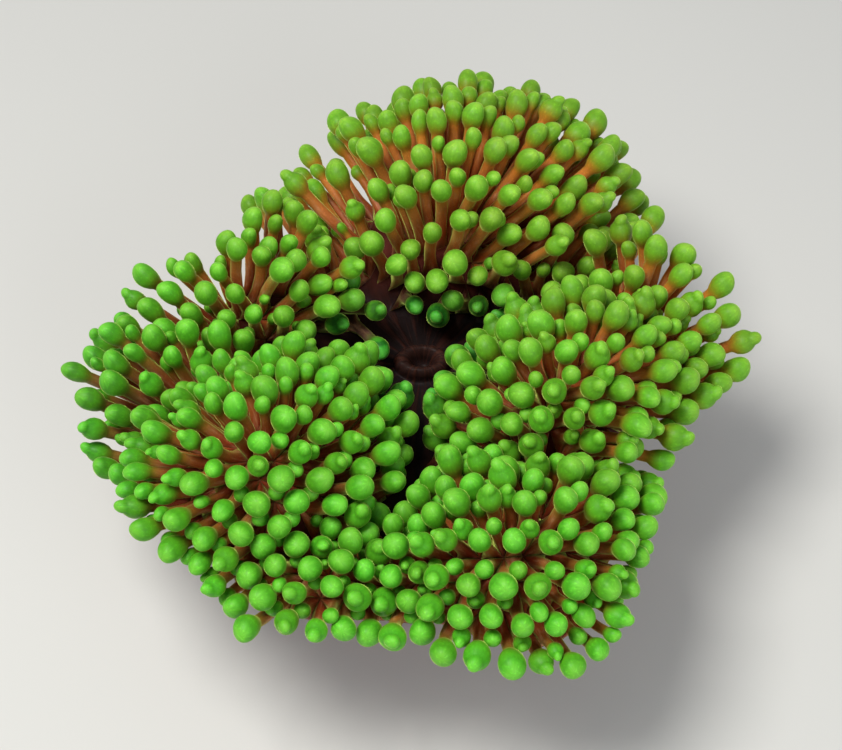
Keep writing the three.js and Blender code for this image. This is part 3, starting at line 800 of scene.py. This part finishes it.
def grow_column(skin, surface, triangles):
    """The rim, the underside of the disc, the column and the foot, from the disc's edge down."""
    border = surface.border_round(triangles)
    edge = skin.at(border)
    angles = np.arctan2(edge[:, 1], edge[:, 0])
    radii = np.hypot(edge[:, 0], edge[:, 1])
    rows = []
    for inward, below in RIM:
        rows.append((angles, radii - inward, edge[:, 2] - below))
    angles, radii = angles[::2], radii[::2]
    top = COLUMN_OUTLINE[-1][1]
    for number in range(1, UNDERSIDE_ROWS):
        share = number / UNDERSIDE_ROWS
        radius = (radii - RIM[-1][0]) * (1 - share) + top * share
        heights = underside_height(radius * np.cos(angles), radius * np.sin(angles))
        radius = radius + UNDERSIDE_RIDGE * share * np.cos(RIDGES * angles)
        rows.append((angles, radius, heights))
    for number in range(COLUMN_ROWS + 1):
        height = COLUMN_TOP * (1 - number / COLUMN_ROWS) ** ROW_SPACING
        rows.append((angles, column_radius(height, angles), np.full(len(angles), height)))
    for share in SOLE_ROWS:
        rows.append((angles, column_radius(0, angles) * share, np.zeros(len(angles))))
    rings = [border]
    column_start = len(RIM) + UNDERSIDE_ROWS - 1
    for number, (around, radius, height) in enumerate(rows):
        points = np.column_stack([radius * np.cos(around), radius * np.sin(around), height])
        looks = disc_looks(points)
        looks[:, 0] = -smooth((number + 1) / column_start)
        # No painted shade below the disc's edge
        looks[:, 3] = 0
        grain = np.column_stack([
            STREAKS * np.cos(around), STREAKS * np.sin(around), height / STREAK_LENGTH,
        ])
        rings.append(skin.add_points(points, looks, grain))
    middle = skin.add_points((0, 0, 0), (-1, 0, 0.5, 0), (0, 0, 0))[0]
    first_sole = len(rings) - len(SOLE_ROWS)
    for number in range(len(rings) - 1):
        on_sole = number + 1 >= first_sole
        patch = SOLE_PATCH if on_sole else BODY_PATCH
        high, low = 1 - number / len(rings), 1 - (number + 1) / len(rings)
        finish = DISC if number < 1 else COLUMN
        skin.add_band(rings[number + 1], rings[number], patch, low, high, finish)
    skin.add_fan(rings[-1][::-1], middle, SOLE_PATCH, 1 / len(rings), 0, COLUMN)


def make_skin(materials):
    places, triangles = read_net()
    grow_young(places, triangles)
    skin = Skin()
    surface = DiscSurface(skin, places)
    grown = [triangle for triangle in triangles if "tentacle" in triangle]
    borders = [surface.border(triangle) for triangle in grown]
    free = [triangle for triangle in triangles if "tentacle" not in triangle and not triangle["bare"]]
    corners = np.array([corner for triangle in free for corner in surface.fill(triangle)])
    skin.add_faces(corners, disc_map(skin.at(corners)), DISC)
    starts = [skin.at(border) for border in borders]
    for index, (triangle, border, start) in enumerate(zip(grown, borders, starts)):
        grow_tentacle(skin, border, start, triangle["tentacle"], index)
    grow_mouth(skin, surface, [triangle for triangle in triangles if triangle["bare"]])
    grow_column(skin, surface, triangles)
    return skin.make_object("anemone_skin", materials)


# ---- The finish ----


def srgb(red, green, blue):
    """A colour as it looks on screen, from 0 to 255, as the shader's numbers."""
    values = [value / 255 for value in (red, green, blue)]
    return (*(v / 12.92 if v <= 0.04045 else ((v + 0.055) / 1.055) ** 2.4 for v in values), 1)


# Place from a tentacle's root, through its neck at 0.5, to its tip, and the colour on screen there. Below
# the tip is a darker ring, partly the tissue's own colour and partly painted shade, and the brighter tip
# is a painted highlight.
GREEN_RAMP = [
    (0.0, 92, 36, 24), (0.12, 156, 70, 36), (0.38, 172, 102, 48), (0.5, 150, 106, 38),
    (0.6, 118, 126, 28), (0.7, 90, 152, 28), (0.8, 84, 168, 30), (0.88, 74, 158, 28),
    (0.94, 92, 180, 40), (1.0, 112, 196, 56),
]
OLIVE_RAMP = [
    (0.0, 98, 40, 24), (0.12, 172, 88, 40), (0.38, 200, 124, 58), (0.5, 190, 116, 42),
    (0.6, 168, 124, 34), (0.7, 128, 144, 30), (0.8, 112, 162, 34), (0.88, 106, 158, 34),
    (0.94, 122, 174, 44), (1.0, 142, 188, 60),
]
# Colours of tentacles with painted shade, in the hollow, in the disc's valleys and at the far left
PAINTED_SHADE_RAMP = [
    (0.0, 26, 15, 15), (0.12, 52, 28, 26), (0.4, 112, 76, 66), (0.58, 80, 112, 36),
    (0.7, 78, 152, 38), (0.78, 66, 144, 34), (0.84, 34, 98, 24), (0.89, 36, 104, 26),
    (0.93, 62, 152, 42), (1.0, 90, 180, 62),
]
STALK_STREAK = srgb(210, 162, 122)
# The disc's colour in the painted shade of its valleys; DISC_RED is its colour on the folds
DISC_DARK = srgb(24, 14, 14)
DISC_RED = srgb(84, 34, 26)
COLUMN_DARK = srgb(92, 34, 22)
COLUMN_PALE = srgb(146, 72, 46)
FOOT_PALE = srgb(170, 104, 80)
SHEEN_TINT = srgb(222, 255, 120)
SHEEN_ROUGHNESS = 0.25
FLESH_IOR = 1.38
GLOW = 0.5  # the share of light that comes out again beside where it goes in
GLOW_REACH = (1.0, 0.75, 0.35)  # of red, green and blue
COAT, COAT_ROUGHNESS = 0.04, 0.25
NOISE_LOW, NOISE_HIGH = 0.3, 0.7  # where nearly all of a noise's values lie
# Noise cells to a metre
TENTACLE_SPECKS, TENTACLE_FINE = 900, 1400
DISC_MOTTLE, DISC_FINE = 160, 700
COLUMN_MOTTLE, COLUMN_FINE = 220, 600
GROOVES = 3.2  # cells to a unit of the tentacles' grain
PALE_FOOT = 0.022  # the height in metres up to which the column is paler
MIX_ONE, MIX_OTHER, MIX_RESULT = 6, 7, 2  # the Mix node's sockets for colours


class Finish:
    """A material's nodes, made and joined with short calls."""

    def __init__(self, name):
        self.material = bpy.data.materials.new(name)
        self.material.use_nodes = True
        self.tree = self.material.node_tree
        self.shader = self.tree.nodes["Principled BSDF"]

    def add(self, kind, output=0, inputs=None, **settings):
        made = self.tree.nodes.new("ShaderNode" + kind)
        for name, value in settings.items():
            setattr(made, name, value)
        for name, value in (inputs or {}).items():
            self.put(made.inputs[name], value)
        return made.outputs[output]

    def put(self, socket, value):
        if isinstance(value, bpy.types.NodeSocket):
            self.tree.links.new(value, socket)
        else:
            socket.default_value = value

    def look(self, name):
        return self.add("Attribute", "Vector" if name == "grain" else "Fac", attribute_name=name)

    def ramp(self, value, stops):
        made = self.tree.nodes.new("ShaderNodeValToRGB")
        for place, *_ in stops[2:]:
            made.color_ramp.elements.new(place)
        for element, (place, *colour) in zip(made.color_ramp.elements, stops):
            element.position, element.color = place, srgb(*colour)
        self.put(made.inputs["Fac"], value)
        return made.outputs["Color"]

    def range(self, value, low, high, to_low=0.0, to_high=1.0):
        """Turns a value between low and high into one between to_low and to_high."""
        inputs = {"Value": value, "From Min": low, "From Max": high, "To Min": to_low, "To Max": to_high}
        return self.add("MapRange", inputs=inputs)

    def mix(self, share, one, other, way="MIX"):
        made = self.tree.nodes.new("ShaderNodeMix")
        made.data_type, made.blend_type = "RGBA", way
        self.put(made.inputs["Factor"], share)
        self.put(made.inputs[MIX_ONE], one)
        self.put(made.inputs[MIX_OTHER], other)
        return made.outputs[MIX_RESULT]

    def combine(self, one, other, way="MULTIPLY"):
        return self.add("Math", inputs={0: one, 1: other}, operation=way)

    def noise(self, scale, detail=2.0, vector=None, roughness=0.5):
        inputs = {"Scale": scale, "Detail": detail, "Roughness": roughness}
        if vector:
            inputs["Vector"] = vector
        return self.add("TexNoise", "Fac", inputs)

    def mottle(self, colour, scale, darkest, palest):
        """Cloudy darker and paler places."""
        noise = self.noise(scale, 4.0, self.add("NewGeometry", "Position"))
        return self.mix(1.0, colour, self.range(noise, NOISE_LOW, NOISE_HIGH, darkest, palest), "MULTIPLY")

    def bump(self, height, distance, strength=1.0, under=None):
        inputs = {"Height": height, "Distance": distance, "Strength": strength}
        if under:
            inputs["Normal"] = under
        return self.add("Bump", inputs=inputs)

    def wet_flesh(self, colour, normal, roughness, depth, gloss, sheen):
        shader = self.shader.inputs
        self.put(shader["Base Color"], colour)
        self.put(shader["Normal"], normal)
        self.put(shader["Roughness"], roughness)
        shader["IOR"].default_value = FLESH_IOR
        shader["Specular IOR Level"].default_value = gloss
        shader["Subsurface Weight"].default_value = GLOW
        shader["Subsurface Radius"].default_value = GLOW_REACH
        shader["Subsurface Scale"].default_value = depth
        shader["Sheen Weight"].default_value = sheen
        shader["Sheen Roughness"].default_value = SHEEN_ROUGHNESS
        shader["Sheen Tint"].default_value = SHEEN_TINT
        shader["Coat Weight"].default_value = COAT
        shader["Coat Roughness"].default_value = COAT_ROUGHNESS
        return self.material


def tentacle_finish():
    """Brown translucent stalks with lengthwise streaks, under green bulbs, with painted shade in the
    hollow, in the disc's valleys and at the far left.
    """
    finish = Finish("tentacle")
    position = finish.add("NewGeometry", "Position")
    own = finish.look("own")
    streaks = finish.noise(1.0, 3.0, finish.look("grain"), 0.6)
    wander = finish.range(streaks, NOISE_LOW, NOISE_HIGH, -0.03, 0.03)
    place = finish.combine(finish.combine(finish.look("grow"), 0.5), wander, "ADD")
    green = finish.ramp(place, GREEN_RAMP)
    olive = finish.ramp(place, OLIVE_RAMP)
    colour = finish.mix(finish.look("hue"), green, olive)
    # Painted shade: darker colours in the hollow, in the disc's valleys and at the far left
    colour = finish.mix(finish.look("painted_shade"), colour, finish.ramp(place, PAINTED_SHADE_RAMP))
    on_stalk = finish.range(place, 0.5, 0.4)
    streak_share = finish.combine(finish.range(streaks, 0.5, 0.72), finish.combine(on_stalk, 0.55))
    colour = finish.mix(streak_share, colour, STALK_STREAK)
    value = finish.range(own, 0, 1, 0.86, 1.1)
    varied = finish.add("HueSaturation", 0, {
        "Hue": finish.range(own, 0, 1, 0.494, 0.506), "Value": value, "Color": colour,
    })
    grooves = finish.noise(GROOVES, 2.0, finish.look("grain"))
    lines = finish.range(grooves, 0.35, 0.65, 0.93, 1.05)
    specks = finish.range(finish.noise(TENTACLE_SPECKS, 1.0, position), 0.56, 0.72, 1.0, 1.22)
    colour = finish.mix(1.0, varied, finish.combine(lines, specks), "MULTIPLY")
    fine = finish.noise(TENTACLE_FINE, 2.0, position)
    normal = finish.bump(grooves, 0.0005, 0.18)
    normal = finish.bump(fine, 0.0002, 0.25, normal)
    roughness = finish.range(fine, NOISE_LOW, NOISE_HIGH, 0.46, 0.6)
    return finish.wet_flesh(colour, normal, roughness, depth=0.0035, gloss=0.35, sheen=1.0)


def disc_finish():
    """Dark red-brown, with painted shade that darkens its valleys, and fine paler lines that run out from
    the mouth.
    """
    finish = Finish("disc")
    position = finish.add("NewGeometry", "Position")
    lines = finish.range(finish.noise(1.0, 2.0, finish.look("grain")), 0.46, 0.66)
    # Painted shade: darker in the valleys
    colour = finish.mix(finish.look("painted_shade"), DISC_RED, DISC_DARK)
    colour = finish.mix(finish.combine(lines, 0.1), colour, COLUMN_PALE)
    lips = finish.range(finish.look("grow"), 0.0, 0.4, 0.0, 0.04)
    colour = finish.mix(lips, colour, FOOT_PALE)
    colour = finish.mottle(colour, DISC_MOTTLE, 0.75, 1.2)
    fine = finish.noise(DISC_FINE, 3.0, position)
    normal = finish.bump(lines, 0.0004, 0.5)
    normal = finish.bump(fine, 0.0003, 0.35, normal)
    roughness = finish.range(fine, NOISE_LOW, NOISE_HIGH, 0.55, 0.75)
    return finish.wet_flesh(colour, normal, roughness, depth=0.003, gloss=0.15, sheen=0.0)


def column_finish():
    """Red-brown skin with upright streaks, paler towards the foot."""
    finish = Finish("column")
    position = finish.add("NewGeometry", "Position")
    streaks = finish.noise(1.0, 4.0, finish.look("grain"), 0.6)
    colour = finish.mix(finish.range(streaks, 0.35, 0.68), COLUMN_DARK, COLUMN_PALE)
    height = finish.add("SeparateXYZ", "Z", {"Vector": position})
    low = finish.range(height, PALE_FOOT, 0.0, 0.0, 0.65)
    colour = finish.mix(low, colour, FOOT_PALE)
    colour = finish.mottle(colour, COLUMN_MOTTLE, 0.72, 1.22)
    fine = finish.noise(COLUMN_FINE, 3.0, position)
    normal = finish.bump(streaks, 0.0012, 0.5)
    normal = finish.bump(fine, 0.0004, 0.4, normal)
    roughness = finish.range(fine, NOISE_LOW, NOISE_HIGH, 0.38, 0.58)
    return finish.wet_flesh(colour, normal, roughness, depth=0.003, gloss=0.35, sheen=0.08)


# ---- Floor, light and camera ----

FLOOR_SIZE = 12
FLOOR_COLOUR = srgb(212, 211, 207)
FLOOR_ROUGHNESS = 0.9
# Name, place, size, power and colour
LIGHTS = [
    ("key", (-0.35, -0.15, 1.2), 0.5, 13, (1.0, 0.99, 0.95)),
    ("fill", (0.6, -1.0, 0.8), 0.9, 5, (0.94, 0.98, 1.0)),
]
SKY_COLOUR = (0.9, 0.94, 1.0, 1)
SKY_STRENGTH = 0.34
CAMERA_ELEVATION = 55
CAMERA_DISTANCE = 0.85
SENSOR_WIDTH = 36
PICTURE_WIDTH = 842
PICTURE_HEIGHT = 750
CENTRE_PIXEL = (415, 378)  # where the point below shows in the picture
CENTRE_HEIGHT = 0.095
METRES_PER_PIXEL = 0.00041


def make_floor():
    half = FLOOR_SIZE / 2
    mesh = bpy.data.meshes.new("floor")
    corners = [(-half, -half, 0), (half, -half, 0), (half, half, 0), (-half, half, 0)]
    mesh.from_pydata(corners, [], [(0, 1, 2, 3)])
    finish = Finish("floor")
    finish.shader.inputs["Base Color"].default_value = FLOOR_COLOUR
    finish.shader.inputs["Roughness"].default_value = FLOOR_ROUGHNESS
    mesh.materials.append(finish.material)
    floor = bpy.data.objects.new("floor", mesh)
    bpy.context.scene.collection.objects.link(floor)


def add_light(name, place, size, power, colour):
    light = bpy.data.lights.new(name, "AREA")
    light.shape = "DISK"
    light.size, light.energy, light.color = size, power, colour
    lamp = bpy.data.objects.new(name, light)
    lamp.location = place
    aim = Vector((0, 0, CENTRE_HEIGHT)) - lamp.location
    lamp.rotation_euler = aim.to_track_quat("-Z", "Y").to_euler()
    bpy.context.scene.collection.objects.link(lamp)


def light_scene():
    for light in LIGHTS:
        add_light(*light)
    world = bpy.data.worlds.new("studio")
    world.use_nodes = True
    background = world.node_tree.nodes["Background"]
    background.inputs["Color"].default_value = SKY_COLOUR
    background.inputs["Strength"].default_value = SKY_STRENGTH
    bpy.context.scene.world = world
    bpy.context.scene.view_settings.view_transform = "Standard"


def make_camera():
    elevation = math.radians(CAMERA_ELEVATION)
    away = Vector((0, -math.cos(elevation), math.sin(elevation)))
    up = Vector((0, math.sin(elevation), math.cos(elevation)))
    across = PICTURE_WIDTH / 2 - CENTRE_PIXEL[0]
    above = CENTRE_PIXEL[1] - PICTURE_HEIGHT / 2
    target = Vector((across * METRES_PER_PIXEL, 0, CENTRE_HEIGHT)) + up * above * METRES_PER_PIXEL
    data = bpy.data.cameras.new("camera")
    data.sensor_width = SENSOR_WIDTH
    data.lens = data.sensor_width * CAMERA_DISTANCE / (PICTURE_WIDTH * METRES_PER_PIXEL)
    camera = bpy.data.objects.new("camera", data)
    camera.location = target + away * CAMERA_DISTANCE
    camera.rotation_euler = (-away).to_track_quat("-Z", "Y").to_euler()
    bpy.context.scene.collection.objects.link(camera)
    bpy.context.scene.camera = camera


skin = make_skin([tentacle_finish(), disc_finish(), column_finish()])
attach(skin, "root")
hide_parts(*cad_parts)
make_floor()
light_scene()
make_camera()
